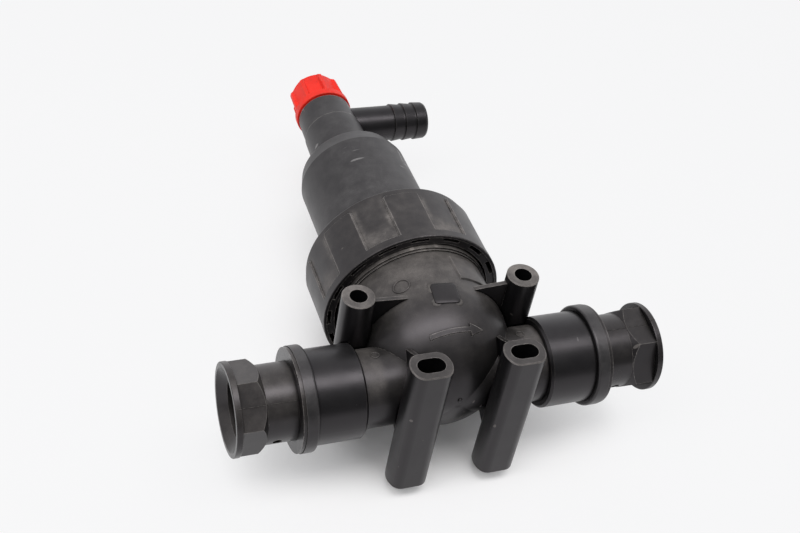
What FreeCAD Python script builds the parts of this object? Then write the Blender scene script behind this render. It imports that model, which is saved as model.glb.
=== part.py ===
"""Self-cleaning in-line water filter: a tee head with four mounting bosses, a bowl held by a grip ring nut,
a screen cartridge inside, a side hose barb for flushing and a drain cap.

X runs along the ports from inlet to outlet, Y runs down the bowl to the drain cap, Z runs along the bosses.
The origin lies midway between the two slotted bosses, on the plane of the boss feet.
"""
import FreeCAD, Part
import math
import os
import re

import Sketcher

SHEET = "Sizes"

SIZES = [
    ("port_reach", 145.0, "bowl axis to port face"),
    ("port_flange_radius", 30.0, "rim round the port mouth"),
    ("port_flange_thick", 4.0, "rim length along the port"),
    ("port_thread_radius", 20.95, "major radius of the 1 1/4 inch pipe thread"),
    ("port_thread_depth", 24.0, "port face to the end of the thread"),
    ("port_lead_width", 6.05, "radial width of the cone at the mouth"),
    ("port_lead_depth", 6.0, "length of the cone at the mouth"),
    ("hex_across", 51.0, "spanner size of the port hexagon"),
    ("hex_long", 16.5, "hexagon length behind the rim"),
    ("hex_bevel", 4.4, "length of the cone on the hexagon corners"),
    ("hex_turn", -19.0, "hexagon corner from the gauge dimple, in degrees"),
    ("neck_radius", 25.0, "round neck behind the hexagon"),
    ("neck_bore_radius", 18.5, "bore of the neck"),
    ("dimple_radius", 2.9, "blind dimple in the neck"),
    ("dimple_depth", 2.4, "depth of the dimple"),
    ("dimple_place", 15.0, "weld face to dimple centre"),
    ("weld_face", 102.7, "bowl axis to the weld between sleeve and adapter"),
    ("weld_ring_thick", 2.3, "adapter half of the welded collar"),
    ("weld_ring_step", 0.5, "adapter half smaller than the sleeve half"),
    ("outlet_clocking", 27.0, "turn of the outlet adapter, in degrees"),
    ("inlet_clocking", 158.0, "turn of the inlet adapter, in degrees"),
    ("sleeve_start", 62.4, "bowl axis to the inner end of the sleeve"),
    ("sleeve_bevel", 1.5, "bevel at the inner end of the sleeve"),
    ("sleeve_wall", 5.05, "sleeve wall over the stub"),
    ("collar_height", 3.5, "collar above the sleeve"),
    ("collar_thick", 8.2, "sleeve half of the welded collar"),
    ("collar_round", 1.8, "rounding of the collar edge"),
    ("stub_radius", 25.4, "head stub outside"),
    ("stub_wall", 4.9, "head stub wall"),
    ("socket_lip", 6.7, "sleeve length beyond its socket"),
    ("end_gap", 0.3, "stub end to socket floor"),
    ("slip_clearance", 0.05, "radial clearance of a slip fit"),
    ("port_seal_place", 84.0, "bowl axis to the stub groove"),
    ("port_seal_wide", 3.4, "stub groove width"),
    ("port_seal_deep", 2.2, "stub groove depth"),
    ("seal_side_gap", 0.15, "seal clear of each groove wall"),
    ("dome_radius", 51.5, "head dome outside"),
    ("dome_centre", 26.0, "port axis to the centre of the dome"),
    ("dome_wall", 4.5, "head wall"),
    ("dome_end", 64.0, "port axis to the shoulder ring"),
    ("shoulder_step", 1.9, "shoulder ring above the dome"),
    ("shoulder_wide", 9.0, "shoulder ring width"),
    ("shoulder_ledge", 1.5, "lower step at the front of the shoulder ring"),
    ("thread_root_step", 0.7, "thread root above the dome"),
    ("thread_height", 2.0, "thread crest above its root"),
    ("thread_long", 29.0, "shoulder ring to the head mouth"),
    ("mouth_bevel", 1.2, "bevel round the head mouth"),
    ("seat_inset", 1.8, "collar edge to the outside of the seat tube"),
    ("seat_wall", 4.0, "cartridge seat tube wall"),
    ("seat_end", 44.0, "port axis to the cartridge seat"),
    ("crossing_wall", 3.5, "wall of the inlet pipe across the head"),
    ("front_boss_x", 30.7, "slotted boss from the bowl axis"),
    ("front_boss_y", 33.7, "slotted boss in front of the port axis"),
    ("front_boss_wide", 27.0, "slotted boss along the ports"),
    ("front_boss_deep", 21.0, "slotted boss across"),
    ("front_boss_corner", 7.0, "rounding of the slotted boss corners"),
    ("slot_long", 18.0, "slot length"),
    ("slot_wide", 11.4, "slot width"),
    ("boss_rise", 1.5, "boss ends past the dome"),
    ("boss_edge", 0.6, "bevel of the boss ends"),
    ("back_boss_x", 56.6, "round boss from the bowl axis"),
    ("back_boss_y", 30.5, "round boss behind the port axis"),
    ("back_boss_radius", 10.8, "round boss outside"),
    ("back_hole_radius", 5.8, "round boss hole"),
    ("web_thick", 3.0, "webs that tie the bosses to the dome"),
    ("front_web_drop", 0.2, "front web under the boss end, at the boss centre"),
    ("web_sink", 0.3, "web foot below the dome surface"),
    ("back_web_drop", 4.2, "back web under the boss end"),
    ("back_web_end", 22.0, "bowl axis to the inner end of the back web"),
    ("arrow_long", 36.0, "flow arrow length"),
    ("arrow_wide", 2.6, "flow arrow shaft width"),
    ("arrow_head_wide", 7.0, "flow arrow head width"),
    ("arrow_head_long", 9.0, "flow arrow head length"),
    ("arrow_raise", 0.7, "flow arrow above the dome"),
    ("arrow_place", 1.2, "flow arrow in front of the port axis"),
    ("nut_show", 3.0, "shoulder ring seen in front of the nut"),
    ("nut_thread_gap", 0.7, "nut bore outside the thread crest"),
    ("nut_wall", 6.3, "nut bore to the floor between the grips"),
    ("grip_height", 1.4, "grips above the floor between them"),
    ("grip_count", 8, "grips round the nut"),
    ("grip_angle", 24.0, "width of a grip, in degrees"),
    ("grip_slope", 1.0, "a grip wider at its foot, on each side"),
    ("front_band", 7.0, "front band of the nut, as high as the grips"),
    ("grip_long", 38.5, "grip length behind the band"),
    ("grip_corner", 3.0, "rounding of the grip corners"),
    ("nut_lip_long", 8.0, "lip that pulls the bowl up"),
    ("nut_lip_gap", 1.8, "lip clear of the bowl barrel"),
    ("nut_rear_round", 1.6, "rounding at the back of the nut"),
    ("nut_front_bevel", 0.6, "bevel at the front of the nut"),
    ("front_step_deep", 0.8, "inner face set back from the nut front"),
    ("front_rim_thick", 2.3, "rim round the set-back face"),
    ("pocket_count", 16, "core-out pockets in the nut front"),
    ("pocket_angle", 12.5, "width of a pocket, in degrees"),
    ("pocket_wall", 2.5, "bore to pocket"),
    ("pocket_wide", 2.6, "radial width of a pocket"),
    ("pocket_deep", 22.0, "depth of a pocket"),
    ("nut_clocking", -3.0, "turn of the nut when tight, in degrees"),
    ("bowl_fit", 0.3, "bowl spigot clear of the head bore"),
    ("spigot_long", 9.0, "bowl spigot inside the head"),
    ("bowl_flange_gap", 1.3, "bowl flange clear of the nut bore"),
    ("bowl_flange_thick", 8.0, "bowl flange"),
    ("bowl_radius", 41.7, "bowl barrel outside, at the flange"),
    ("bowl_taper", 0.7, "barrel smaller at its far end"),
    ("bowl_wall", 3.2, "bowl wall"),
    ("barrel_end", 201.5, "port axis to the end of the barrel"),
    ("shoulder_long", 12.0, "length of the cone behind the barrel"),
    ("shoulder_drop", 3.7, "shoulder edge smaller than the barrel end"),
    ("shoulder_round", 1.2, "rounding of the shoulder edge"),
    ("shoulder_slope", 8.5, "length of the slope up to the neck"),
    ("outlet_radius", 22.5, "outlet neck outside"),
    ("outlet_root", 1.5, "outlet neck wider at its root"),
    ("crease_drop", 23.5, "crease in front of the neck shoulder"),
    ("outlet_lip", 0.6, "step at the crease"),
    ("outlet_taper", 1.4, "neck smaller at its end"),
    ("outlet_end", 281.5, "port axis to the neck shoulder"),
    ("outlet_wall", 6.8, "neck wall"),
    ("drain_radius", 14.4, "thread root of the drain spigot"),
    ("drain_wall", 3.0, "drain spigot wall"),
    ("drain_long", 25.0, "drain spigot length"),
    ("bowl_seal_back", 5.0, "head mouth to the bowl groove"),
    ("bowl_seal_wide", 3.6, "bowl groove width"),
    ("bowl_seal_deep", 2.6, "bowl groove depth"),
    ("cage_short", 1.5, "cartridge end in front of the end of the barrel"),
    ("cage_room", 6.9, "bowl outside to the cartridge collars"),
    ("cage_seat_gap", 0.4, "collar clear of the bowl seat"),
    ("cage_collar_wall", 5.3, "cartridge collar wall"),
    ("cage_collar_long", 7.0, "cartridge collar length"),
    ("cage_seal_thick", 2.4, "cartridge gaskets"),
    ("screen_inset", 2.8, "collar edge to the screen"),
    ("screen_thick", 0.6, "screen thickness"),
    ("cage_rib_count", 8, "cage ribs"),
    ("cage_rib_wide", 3.0, "cage rib width"),
    ("cage_rib_high", 2.2, "cage rib height"),
    ("hoop_count", 4, "hoops round the screen"),
    ("hoop_wide", 2.4, "hoop width"),
    ("hoop_high", 1.6, "hoop height"),
    ("cone_start", 72.0, "port axis to the tip of the deflector"),
    ("cone_tip_radius", 4.0, "deflector radius at its tip"),
    ("cone_room", 10.5, "collar bore to the base of the deflector"),
    ("cone_wall", 1.8, "deflector wall"),
    ("cone_nose", 5.4, "solid nose of the deflector"),
    ("spider_gap", 0.1, "spider ring clear of the collar"),
    ("spider_wall", 2.0, "spider ring wall"),
    ("spider_high", 5.0, "spider height"),
    ("spoke_count", 3, "spider spokes"),
    ("spoke_wide", 2.4, "spider spoke width"),
    ("barb_drop", 14.3, "hose barb axis in front of the neck shoulder"),
    ("barb_radius", 13.85, "hose barb tube outside"),
    ("barb_wall", 3.1, "hose barb wall"),
    ("barb_start", 13.0, "bowl axis to the inner end of the barb"),
    ("barb_first", 50.5, "bowl axis to the first hose ridge"),
    ("barb_pitch", 9.3, "ridge to ridge"),
    ("barb_count", 3, "hose ridges"),
    ("barb_height", 1.0, "ridge above the tube"),
    ("barb_ramp", 7.8, "length of a ridge"),
    ("barb_end", 78.4, "bowl axis to the tip of the barb"),
    ("barb_round", 1.6, "rounding of the barb tip"),
    ("jet_place", 18.0, "bowl axis to the flush jet"),
    ("jet_long", 4.0, "flush jet length"),
    ("jet_radius", 3.5, "flush jet orifice"),
    ("cap_gap", 2.0, "cap mouth clear of the neck shoulder"),
    ("cap_thread_gap", 1.4, "cap bore outside the spigot root"),
    ("cap_wall", 1.6, "cap wall under a flat"),
    ("cap_skirt_radius", 22.2, "cap skirt"),
    ("cap_skirt_long", 5.4, "skirt length"),
    ("cap_skirt_bevel", 0.5, "bevel at the cap mouth"),
    ("cap_root_radius", 21.5, "ribs where they leave the skirt"),
    ("cap_rib_radius", 20.5, "ribs at the far end"),
    ("cap_long", 31.5, "cap mouth to its end"),
    ("cap_bevel_long", 3.8, "length of the bevel at the end of the cap"),
    ("cap_end_radius", 16.9, "flat end of the cap"),
    ("cap_rib_count", 8, "grip ribs round the cap"),
    ("cap_rib_root", 11.5, "rib width at its root, in degrees"),
    ("cap_rib_tip", 3.6, "rib width at its tip, in degrees"),
    ("cap_clocking", -17.5, "turn of the cap when tight, in degrees"),
    ("cap_seal_thick", 2.5, "drain cap gasket"),
]
ALIASES = {alias for alias, number, meaning in SIZES}

document = FreeCAD.newDocument("water_filter")
sheet = document.addObject("Spreadsheet::Sheet", SHEET)
for row, (alias, number, meaning) in enumerate(SIZES, 1):
    sheet.set("A%d" % row, meaning)
    sheet.set("B%d" % row, str(number))
    sheet.setAlias("B%d" % row, alias)
document.recompute()

FULL_TURN = 360.0

# Lengths that follow from the sheet, written once and used by every piece that shares them.
DERIVED = {
    "lift": "dome_radius + boss_rise",
    "boss_height": "2 * (dome_radius + boss_rise)",
    "front_web_top": "dome_radius + boss_rise - front_web_drop",
    "front_web_foot": "sqrt(dome_radius^2 - front_boss_x^2 - dome_centre^2) - web_sink",
    "back_web_top": "dome_radius + boss_rise - back_web_drop",
    "back_web_foot": "sqrt(dome_radius^2 - back_web_end^2) - web_sink",
    "stub_bore": "stub_radius - stub_wall",
    "socket_radius": "stub_radius + slip_clearance",
    "sleeve_radius": "stub_radius + slip_clearance + sleeve_wall",
    "collar_radius": "stub_radius + slip_clearance + sleeve_wall + collar_height",
    "socket_end": "weld_face - socket_lip",
    "stub_end": "weld_face - socket_lip - end_gap",
    "flange_back": "port_reach - port_flange_thick",
    "hex_start": "port_reach - port_flange_thick - hex_long",
    "hex_corner": "hex_across / (2 * cos(30))",
    "seal_floor": "stub_radius - port_seal_deep",
    "head_bore": "dome_radius - dome_wall",
    "seat_bore": "seat_radius - seat_wall",
    "shoulder_radius": "dome_radius + shoulder_step",
    "thread_root": "dome_radius + thread_root_step",
    "thread_start": "dome_end + shoulder_wide",
    "mouth_face": "dome_end + shoulder_wide + thread_long",
    "bowl_seal_place": "mouth_face - bowl_seal_back",
    "nut_start": "dome_end + nut_show",
    "nut_bore": "dome_radius + thread_root_step + thread_height + nut_thread_gap",
    "floor_radius": "dome_radius + thread_root_step + thread_height + nut_thread_gap + nut_wall",
    "band_radius": "dome_radius + thread_root_step + thread_height + nut_thread_gap + nut_wall + grip_height",
    "flange_end": "mouth_face + bowl_flange_thick",
    "nut_end": "mouth_face + bowl_flange_thick + nut_lip_long",
    "spigot_radius": "dome_radius - dome_wall - bowl_fit",
    "barrel_end_radius": "bowl_radius - bowl_taper",
    "shoulder_end": "barrel_end + shoulder_long",
    "outlet_start": "barrel_end + shoulder_long + shoulder_slope",
    "outlet_crease": "outlet_end - crease_drop",
    "barb_place": "outlet_end - barb_drop",
    "cage_end": "barrel_end - cage_short",
    "cage_radius": "bowl_radius - cage_room",
    "screen_radius": "bowl_radius - cage_room - screen_inset",
    "seat_radius": "bowl_radius - cage_room - seat_inset",
    "cone_base_radius": "cage_bore - cone_room",
    "drain_end": "outlet_end + drain_long",
    "outlet_bore": "outlet_radius - outlet_wall",
    "cage_bore": "cage_radius - cage_collar_wall",
    "cage_start": "seat_end + cage_seal_thick",
    "screen_start": "seat_end + cage_seal_thick + cage_collar_long",
    "screen_end": "cage_end - cage_collar_long",
    "bowl_seat": "cage_end + cage_seal_thick",
    "barb_bore": "barb_radius - barb_wall",
    "cap_bore": "drain_radius + cap_thread_gap",
    "cap_start": "outlet_end + cap_gap",
    "cap_end": "outlet_end + cap_gap + cap_long",
    "cap_bevel_start": "outlet_end + cap_gap + cap_long - cap_bevel_long",
    "cap_flat": "drain_radius + cap_thread_gap + cap_wall",
    "cap_floor": "outlet_end + drain_long + cap_seal_thick",
}


def bound(text):
    """Spell out the derived names and point every alias at the sheet."""
    def swap(word):
        name = word.group()
        if name in DERIVED:
            return "(" + bound(DERIVED[name]) + ")"
        return SHEET + "." + name if name in ALIASES else name
    return re.sub(r"[a-z][a-z_]*", swap, text)


def value(text):
    return float(sheet.evalExpression(bound(text)))


def new_body(label, along_y="0"):
    """A body in the shared frame, shifted along the bowl axis where its own axis lies there."""
    body = document.addObject("PartDesign::Body", label)
    body.Label = label
    body.setExpression("Placement.Base.y", bound("front_boss_y + " + along_y))
    body.setExpression("Placement.Base.z", bound("lift"))
    return body


def turn(body, rotation):
    """Turn a body about its own origin; the bound shift stays."""
    body.Placement = FreeCAD.Placement(body.Placement.Base, rotation)


def origin_item(body, role):
    return [item for item in body.Origin.OriginFeatures if item.Role == role][0]


def empty_sketch(body, name, role, offset="0"):
    sketch = body.newObject("Sketcher::SketchObject", name)
    sketch.AttachmentSupport = [(origin_item(body, role), "")]
    sketch.MapMode = "FlatFace"
    sketch.setExpression("AttachmentOffset.Base.z", bound(offset))
    return sketch


def pin_point(sketch, geometry, end, across, up):
    """Hold one point of the sketch at two bound distances from its origin."""
    for kind, axis, text in (("DistanceX", -2, across), ("DistanceY", -1, up)):
        if text == "0":
            sketch.addConstraint(Sketcher.Constraint("PointOnObject", geometry, end, axis))
            continue
        index = sketch.addConstraint(Sketcher.Constraint(kind, -1, 1, geometry, end, value(text)))
        sketch.setExpression("Constraints[%d]" % index, bound(text))


def add_circle(sketch, across, up, radius):
    centre = FreeCAD.Vector(value(across), value(up), 0)
    circle = Part.Circle(centre, FreeCAD.Vector(0, 0, 1), value(radius))
    geometry = sketch.addGeometry(circle)
    pin_point(sketch, geometry, 3, across, up)
    index = sketch.addConstraint(Sketcher.Constraint("Radius", geometry, value(radius)))
    sketch.setExpression("Constraints[%d]" % index, bound(radius))


def add_loop(sketch, corners):
    """Close a loop through corners (across, up).

    A corner with four entries is reached by a counter-clockwise arc about the point in the last two.
    """
    points = [FreeCAD.Vector(value(corner[0]), value(corner[1]), 0) for corner in corners]
    first = None
    last = None
    for step in range(len(corners)):
        start = points[step - 1]
        end = points[step]
        corner = corners[step]
        if len(corner) == 2:
            geometry = sketch.addGeometry(Part.LineSegment(start, end))
        else:
            centre = FreeCAD.Vector(value(corner[2]), value(corner[3]), 0)
            circle = Part.Circle(centre, FreeCAD.Vector(0, 0, 1), (end - centre).Length)
            arc = Part.ArcOfCircle(circle, circle.parameter(start), circle.parameter(end))
            geometry = sketch.addGeometry(arc)
            pin_centre(sketch, geometry, start, end, corner)
        pin_point(sketch, geometry, 2, corner[0], corner[1])
        if last is None:
            first = geometry
        else:
            sketch.addConstraint(Sketcher.Constraint("Coincident", last, 2, geometry, 1))
        last = geometry
    sketch.addConstraint(Sketcher.Constraint("Coincident", last, 2, first, 1))


def pin_centre(sketch, geometry, start, end, corner):
    """One bound distance fixes the centre of an arc whose two ends are pinned."""
    chord = end - start
    if abs(chord.y) >= abs(chord.x):
        kind, axis, text = "DistanceX", -2, corner[2]
    else:
        kind, axis, text = "DistanceY", -1, corner[3]
    if text == "0":
        sketch.addConstraint(Sketcher.Constraint("PointOnObject", geometry, 3, axis))
        return
    index = sketch.addConstraint(Sketcher.Constraint(kind, -1, 1, geometry, 3, value(text)))
    sketch.setExpression("Constraints[%d]" % index, bound(text))


def revolve(body, name, corners, axis, kind="Revolution", angle=None):
    """Turn a profile about the sketch's own axis: a full turn, or a sector centred on the sketch."""
    sketch = empty_sketch(body, name + "_profile", "XY_Plane")
    add_loop(sketch, corners)
    feature = body.newObject("PartDesign::" + kind, name)
    feature.Profile = sketch
    feature.ReferenceAxis = (sketch, [axis])
    if angle is None:
        feature.Angle = FULL_TURN
    else:
        feature.Midplane = True
        feature.setExpression("Angle", bound(angle))
    return feature


def extrude(body, name, sketch, length, kind="Pad", side="One side", reverse=False):
    feature = body.newObject("PartDesign::" + kind, name)
    feature.Profile = sketch
    feature.SideType = side
    feature.Reversed = reverse
    feature.setExpression("Length", bound(length))
    return feature


def polar(body, name, features, count, role="Y_Axis"):
    pattern = body.newObject("PartDesign::PolarPattern", name)
    pattern.Originals = features
    pattern.Axis = (origin_item(body, role), [""])
    pattern.Angle = FULL_TURN
    pattern.setExpression("Occurrences", bound(count))
    body.Tip = pattern
    return pattern


def round_edges(body, name, base, wanted, radius, kind="Fillet"):
    """Round or bevel the edges of the base that the test picks."""
    document.recompute()
    picked = ["Edge%d" % (index + 1) for index, edge in enumerate(base.Shape.Edges) if wanted(edge)]
    feature = body.newObject("PartDesign::" + kind, name)
    feature.Base = (base, picked)
    feature.setExpression("Radius" if kind == "Fillet" else "Size", bound(radius))
    return feature


def on_circle(axis, places, radius):
    """A test for full circles of one radius whose centres lie at given distances along an axis."""
    spots = [value(place) for place in places]
    size = value(radius)

    def wanted(edge):
        curve = edge.Curve
        if not isinstance(curve, Part.Circle) or abs(curve.Radius - size) > EDGE_SLACK:
            return False
        return any(abs(getattr(curve.Center, axis) - spot) < EDGE_SLACK for spot in spots)
    return wanted


EDGE_SLACK = 0.01


def double_d(sketch, across, up, wide, deep, corner):
    """A circle with two flats and rounded corners: the outline of the front bosses."""
    rise = "(%s / 2 - %s)" % (deep, corner)
    reach = "(%s / 2 - %s)" % (wide, corner)
    half_flat = "sqrt(%s^2 - %s^2)" % (reach, rise)
    grow = "%s / 2 / %s" % (wide, reach)

    def at(side, part):
        return "%s %s %s" % (across, side, half_flat) + (" * " + grow if part else "")

    def level(side, part):
        return "%s %s %s" % (up, side, rise) + (" * " + grow if part else "")
    low = "%s - %s / 2" % (up, deep)
    high = "%s + %s / 2" % (up, deep)
    add_loop(sketch, [
        (at("-", True), level("-", True), across, up),
        (at("-", False), low, at("-", False), level("-", False)),
        (at("+", False), low),
        (at("+", True), level("-", True), at("+", False), level("-", False)),
        (at("+", True), level("+", True), across, up),
        (at("+", False), high, at("+", False), level("+", False)),
        (at("-", False), high),
        (at("-", True), level("+", True), at("-", False), level("+", False)),
    ])


def slot(sketch, across, up, long, wide):
    """Two half circles joined by straight sides."""
    left = "%s - (%s - %s) / 2" % (across, long, wide)
    right = "%s + (%s - %s) / 2" % (across, long, wide)
    low = "%s - %s / 2" % (up, wide)
    high = "%s + %s / 2" % (up, wide)
    add_loop(sketch, [
        (left, low, left, up),
        (right, low),
        (right, high, right, up),
        (left, high),
    ])


def filter_head():
    body = new_body("head_moulding")
    revolve(body, "dome", [
        ("0", "dome_centre - dome_radius"),
        ("dome_radius", "dome_centre", "0", "dome_centre"),
        ("dome_radius", "dome_end"),
        ("dome_radius + shoulder_step / 2", "dome_end"),
        ("dome_radius + shoulder_step / 2", "dome_end + shoulder_ledge"),
        ("shoulder_radius", "dome_end + shoulder_ledge"),
        ("shoulder_radius", "thread_start"),
        ("thread_root", "thread_start"),
        ("thread_root", "mouth_face - mouth_bevel"),
        ("thread_root - mouth_bevel", "mouth_face"),
        ("0", "mouth_face"),
    ], "V_Axis")

    sketch = empty_sketch(body, "stub_outline", "YZ_Plane")
    add_circle(sketch, "0", "0", "stub_radius")
    extrude(body, "stubs", sketch, "2 * stub_end", side="Symmetric")

    sketch = empty_sketch(body, "boss_outline", "XY_Plane")
    for side in ("", "-"):
        double_d(sketch, side + "front_boss_x", "-front_boss_y", "front_boss_wide", "front_boss_deep",
                 "front_boss_corner")
        add_circle(sketch, side + "back_boss_x", "back_boss_y", "back_boss_radius")
    extrude(body, "bosses", sketch, "boss_height", side="Symmetric")

    for side, sign in (("right", ""), ("left", "-")):
        sketch = empty_sketch(body, side + "_front_web_outline", "YZ_Plane", sign + "front_boss_x")
        add_loop(sketch, [
            ("-front_boss_y", "-front_web_top"),
            ("0", "-front_web_foot"),
            ("0", "front_web_foot"),
            ("-front_boss_y", "front_web_top"),
        ])
        extrude(body, side + "_front_web", sketch, "web_thick", side="Symmetric")
        sketch = empty_sketch(body, side + "_back_web_outline", "XZ_Plane", "-back_boss_y")
        corners = [
            ("back_web_end", "-back_web_foot"),
            ("back_boss_x", "-back_web_top"),
            ("back_boss_x", "back_web_top"),
            ("back_web_end", "back_web_foot"),
        ]
        add_loop(sketch, [(sign + across, up) for across, up in corners])
        extrude(body, side + "_back_web", sketch, "web_thick", side="Symmetric")

    revolve(body, "outlet_chamber", [
        ("seat_radius", "dome_centre - sqrt(head_bore^2 - seat_radius^2)"),
        ("head_bore", "dome_centre", "0", "dome_centre"),
        ("head_bore", "mouth_face"),
        ("0", "mouth_face"),
        ("0", "seat_end"),
        ("seat_radius", "seat_end"),
    ], "V_Axis", kind="Groove")
    revolve(body, "inlet_chamber", [
        ("0", "dome_centre - head_bore"),
        ("seat_bore", "dome_centre - sqrt(head_bore^2 - seat_bore^2)", "0", "dome_centre"),
        ("seat_bore", "seat_end"),
        ("0", "seat_end"),
    ], "V_Axis", kind="Groove")

    crossing_start = "dome_radius - dome_wall / 2"
    crossing_end = "seat_radius - seat_wall / 2"
    sketch = empty_sketch(body, "crossing_outline", "YZ_Plane", "-(%s)" % crossing_start)
    add_circle(sketch, "0", "0", "stub_bore + crossing_wall")
    extrude(body, "crossing_pipe", sketch, "%s - (%s)" % (crossing_start, crossing_end))

    sketch = empty_sketch(body, "inlet_outline", "YZ_Plane", "-(stub_end)")
    add_circle(sketch, "0", "0", "stub_bore")
    extrude(body, "inlet_bore", sketch, "stub_end", kind="Pocket", reverse=True)
    sketch = empty_sketch(body, "outlet_outline", "YZ_Plane", "stub_end")
    add_circle(sketch, "0", "0", "stub_bore")
    extrude(body, "outlet_bore", sketch, "stub_end - seat_radius - end_gap", kind="Pocket")

    sketch = empty_sketch(body, "hole_outline", "XY_Plane")
    for side in ("", "-"):
        slot(sketch, side + "front_boss_x", "-front_boss_y", "slot_long", "slot_wide")
        add_circle(sketch, side + "back_boss_x", "back_boss_y", "back_hole_radius")
    extrude(body, "mounting_holes", sketch, "boss_height", kind="Pocket", side="Symmetric")

    for side, sign in (("right", ""), ("left", "-")):
        near = sign + "(sleeve_start - end_gap)"
        far = sign + "(back_boss_x + 2 * back_boss_radius)"
        revolve(body, side + "_sleeve_room", [
            (near, "stub_radius"),
            (far, "stub_radius"),
            (far, "sleeve_radius + end_gap"),
            (near, "sleeve_radius + end_gap"),
        ], "H_Axis", kind="Groove")
        near = sign + "port_seal_place"
        far = sign + "(port_seal_place + port_seal_wide)"
        revolve(body, side + "_seal_groove", [
            (near, "seal_floor"),
            (far, "seal_floor"),
            (far, "stub_radius"),
            (near, "stub_radius"),
        ], "H_Axis", kind="Groove")

    height = value("lift")
    hole_reach = max(value("slot_long") / 2, value("back_hole_radius")) + EDGE_SLACK

    def boss_end(edge):
        box = edge.BoundBox
        if EDGE_SLACK - height < box.ZMax and box.ZMin < height - EDGE_SLACK:
            return False
        if box.Center.y > 0:
            return box.XLength > 2 * value("back_hole_radius") + EDGE_SLACK
        return abs(box.Center.y + value("front_boss_y")) > value("slot_wide") / 2 + EDGE_SLACK or (
            abs(abs(box.Center.x) - value("front_boss_x")) > hole_reach)
    round_edges(body, "boss_ends", body.Tip, boss_end, "boss_edge", kind="Chamfer")
    return body


def flow_arrow():
    """The arrow stands on the dome: a prism of its outline, cut off by a slightly larger ball."""
    body = new_body("arrow_prism")
    wall_depth = "sqrt(head_bore^2 - (dome_centre + arrow_place)^2) + 0.4"
    sketch = empty_sketch(body, "arrow_outline", "XY_Plane", wall_depth)
    shaft_end = "arrow_long / 2 - arrow_head_long"
    add_loop(sketch, [
        ("-arrow_long / 2", "-arrow_place - arrow_wide / 2"),
        (shaft_end, "-arrow_place - arrow_wide / 2"),
        (shaft_end, "-arrow_place - arrow_head_wide / 2"),
        ("arrow_long / 2", "-arrow_place"),
        (shaft_end, "-arrow_place + arrow_head_wide / 2"),
        (shaft_end, "-arrow_place + arrow_wide / 2"),
        ("-arrow_long / 2", "-arrow_place + arrow_wide / 2"),
    ])
    extrude(body, "arrow_block", sketch, "dome_wall * 2")
    ball = document.addObject("Part::Sphere", "arrow_ball")
    ball.setExpression("Radius", bound("dome_radius + arrow_raise"))
    ball.setExpression("Placement.Base.y", bound("front_boss_y + dome_centre"))
    ball.setExpression("Placement.Base.z", bound("lift"))
    arrow = document.addObject("Part::Common", "flow_arrow")
    arrow.Base = body
    arrow.Tool = ball
    return arrow


def marked_head():
    head = document.addObject("Part::Fuse", "filter_head")
    head.Base = filter_head()
    head.Tool = flow_arrow()
    head.Label = "filter_head"
    return head


def port_sleeve(label, rotation):
    """Big sleeve over the head stub, with its half of the welded collar."""
    body = new_body(label)
    revolve(body, label + "_wall", [
        ("sleeve_start", "socket_radius"),
        ("socket_end", "socket_radius"),
        ("socket_end", "stub_bore"),
        ("weld_face", "stub_bore"),
        ("weld_face", "collar_radius"),
        ("weld_face - collar_thick", "collar_radius"),
        ("weld_face - collar_thick", "sleeve_radius"),
        ("sleeve_start", "sleeve_radius"),
    ], "H_Axis")
    softened = round_edges(body, label + "_collar_edge", body.Tip,
                           on_circle("x", ["weld_face - collar_thick"], "collar_radius"), "collar_round")
    round_edges(body, label + "_mouth", softened,
                on_circle("x", ["sleeve_start"], "sleeve_radius"), "sleeve_bevel", kind="Chamfer")
    turn(body, rotation)
    return body


def port_adapter(label, rotation):
    """Threaded port: weld ring, neck, hexagon and rim."""
    body = new_body(label)
    revolve(body, label + "_wall", [
        ("weld_face", "neck_bore_radius"),
        ("port_reach - port_thread_depth", "neck_bore_radius"),
        ("port_reach - port_thread_depth", "port_thread_radius"),
        ("port_reach - port_lead_depth", "port_thread_radius"),
        ("port_reach", "port_thread_radius + port_lead_width"),
        ("port_reach", "port_flange_radius"),
        ("flange_back", "port_flange_radius"),
        ("flange_back", "neck_radius"),
        ("weld_face + weld_ring_thick", "neck_radius"),
        ("weld_face + weld_ring_thick", "collar_radius - weld_ring_step"),
        ("weld_face", "collar_radius - weld_ring_step"),
    ], "H_Axis")
    softened = round_edges(body, label + "_edges", body.Tip,
                           on_circle("x", ["port_reach", "flange_back"], "port_flange_radius"), "boss_edge")

    sketch = empty_sketch(body, label + "_hexagon_outline", "YZ_Plane", "hex_start")
    corner_angles = ["(%d + hex_turn)" % step for step in range(0, 360, 60)]
    add_loop(sketch, [("hex_corner * cos%s" % angle, "hex_corner * sin%s" % angle) for angle in corner_angles])
    add_circle(sketch, "0", "0", "neck_radius - end_gap")
    extrude(body, label + "_hexagon", sketch, "hex_long")
    revolve(body, label + "_corner_cone", [
        ("hex_start", "neck_radius"),
        ("hex_start + hex_bevel", "hex_corner + end_gap"),
        ("hex_start", "hex_corner + end_gap"),
    ], "H_Axis", kind="Groove")

    sketch = empty_sketch(body, label + "_dimple_outline", "XZ_Plane", "neck_radius - dimple_depth")
    add_circle(sketch, "weld_face + dimple_place", "0", "dimple_radius")
    extrude(body, label + "_dimple", sketch, "dimple_depth", kind="Pocket", reverse=True)
    turn(body, rotation)
    return body


def port_seal(label, rotation):
    body = new_body(label)
    near = "port_seal_place + seal_side_gap"
    far = "port_seal_place + port_seal_wide - seal_side_gap"
    revolve(body, label + "_ring", [
        (near, "seal_floor"),
        (far, "seal_floor"),
        (far, "socket_radius"),
        (near, "socket_radius"),
    ], "H_Axis")
    turn(body, rotation)
    return body


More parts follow.
